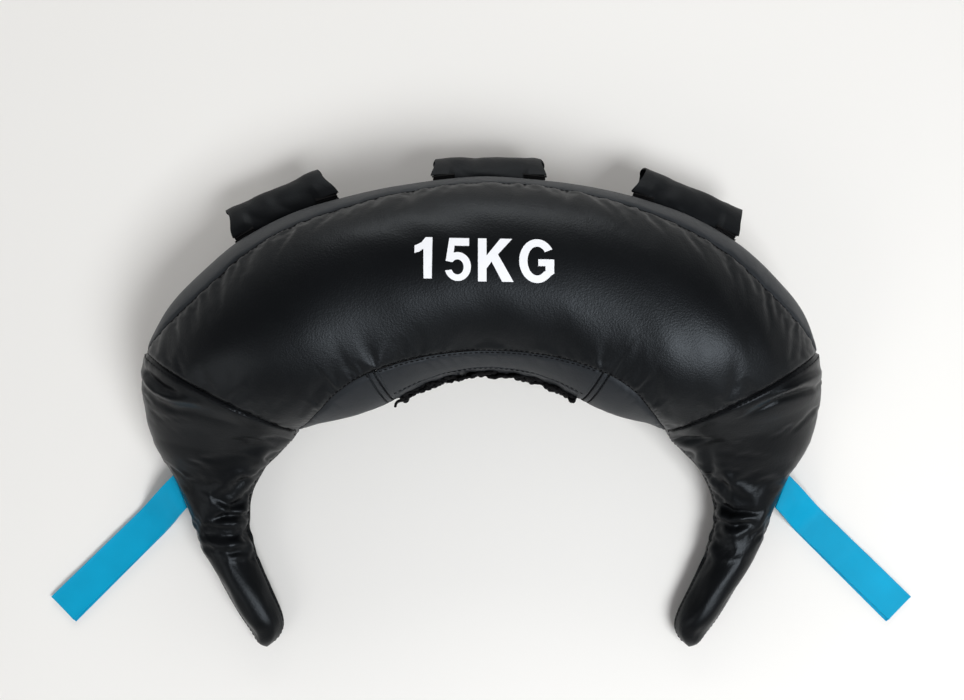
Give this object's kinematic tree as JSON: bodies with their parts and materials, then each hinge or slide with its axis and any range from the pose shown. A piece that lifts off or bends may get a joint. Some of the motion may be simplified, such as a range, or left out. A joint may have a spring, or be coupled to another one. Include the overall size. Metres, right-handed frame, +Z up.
{
  "type": "bulgarian bag",
  "caption": "Crescent-shaped sand-filled training bag with tapering grip horns, padded grab handles on its outer arc and webbing wrist-strap loops.",
  "frame": {"origin": "on the floor under the middle of the belly, halfway between its outer arc and its inner edge", "axes": "+Z up from the floor the bag lies on, towards the front panel; +Y towards the outer arc with the grab handles; +X to the right as the front panel is read"},
  "size_m": [0.8591, 0.4789, 0.1648],
  "materials": {
    "cover_leather": "soft black coated leather with a low sheen, wrinkled at the seams",
    "horn_leather": "smoother black coated leather, a little glossier than the belly",
    "wadding": "matt white fibre wadding, hidden inside",
    "pouch_canvas": "matt canvas, hidden inside",
    "lace_cord": "matt black cord",
    "handle_webbing": "matt black woven webbing",
    "handle_foam": "matt padding, seen only at the sleeves' ends",
    "strap_webbing": "satin cyan-blue webbing",
    "weight_mark": "flat white heat-transfer film of the plain weight mark, which only the scene has"
  },
  "bodies": {
    "belly": {"front_panel": "cover_leather", "rear_panel": "cover_leather", "outer_gusset": "cover_leather", "inner_gusset_left": "cover_leather", "inner_gusset_right": "cover_leather", "mouth_facing_front": "cover_leather", "mouth_facing_rear": "cover_leather", "closing_lace": "lace_cord", "belly_wadding_front": "wadding", "belly_wadding_rear": "wadding", "sand_pouch_1": "pouch_canvas", "sand_pouch_2": "pouch_canvas", "sand_pouch_3": "pouch_canvas", "sand_pouch_4": "pouch_canvas", "sand_pouch_5": "pouch_canvas", "left_handle_foot_left": "handle_webbing", "left_handle_foot_right": "handle_webbing", "middle_handle_foot_left": "handle_webbing", "middle_handle_foot_right": "handle_webbing", "right_handle_foot_left": "handle_webbing", "right_handle_foot_right": "handle_webbing"},
    "left_horn": {"left_horn_cover_front": "horn_leather", "left_horn_cover_rear": "horn_leather", "left_horn_wadding": "wadding"},
    "right_horn": {"right_horn_cover_front": "horn_leather", "right_horn_cover_rear": "horn_leather", "right_horn_wadding": "wadding"},
    "left_handle": {"left_handle_sleeve": "cover_leather", "left_handle_core": "handle_foam", "left_handle_webbing": "handle_webbing"},
    "middle_handle": {"middle_handle_sleeve": "cover_leather", "middle_handle_core": "handle_foam", "middle_handle_webbing": "handle_webbing"},
    "right_handle": {"right_handle_sleeve": "cover_leather", "right_handle_core": "handle_foam", "right_handle_webbing": "handle_webbing"},
    "left_strap": {"left_wrist_strap": "strap_webbing"},
    "right_strap": {"right_wrist_strap": "strap_webbing"}
  },
  "joints": [
    {"name": "left_horn_bend", "type": "hinge", "parent": "belly", "child": "left_horn", "pos_m": [-0.2432, -0.10852, 0.0618], "axis": [0, 0, 1], "range_deg": [-15, 30], "stiffness_Nm_per_rad": 2, "deforming": ["left_horn_cover_front", "left_horn_cover_rear", "left_horn_wadding"]},
    {"name": "right_horn_bend", "type": "hinge", "parent": "belly", "child": "right_horn", "pos_m": [0.2432, -0.10852, 0.0618], "axis": [0, 0, 1], "range_deg": [-30, 15], "stiffness_Nm_per_rad": 2, "deforming": ["right_horn_cover_front", "right_horn_cover_rear", "right_horn_wadding"]},
    {"name": "left_handle_swing", "type": "hinge", "parent": "belly", "child": "left_handle", "pos_m": [-0.18351, 0.0546, 0.07505], "axis": [0.9171, 0.3985, 0], "range_deg": [-20, 110]},
    {"name": "middle_handle_swing", "type": "hinge", "parent": "belly", "child": "middle_handle", "pos_m": [0.0065, 0.09191, 0.07631], "axis": [1, -0.0001, 0], "range_deg": [0, 136]},
    {"name": "right_handle_swing", "type": "hinge", "parent": "belly", "child": "right_handle", "pos_m": [0.18953, 0.05643, 0.07513], "axis": [0.9198, -0.3925, 0], "range_deg": [-15, 115]},
    {"name": "left_strap_swing", "type": "hinge", "parent": "left_horn", "child": "left_strap", "pos_m": [-0.2956, -0.20939, 0.02591], "axis": [-0.3647, 0.9311, 0], "range_deg": [-60, 100]},
    {"name": "right_strap_swing", "type": "hinge", "parent": "right_horn", "child": "right_strap", "pos_m": [0.2939, -0.20941, 0.02591], "axis": [-0.3786, -0.9256, 0], "range_deg": [-60, 100]}
  ]
}
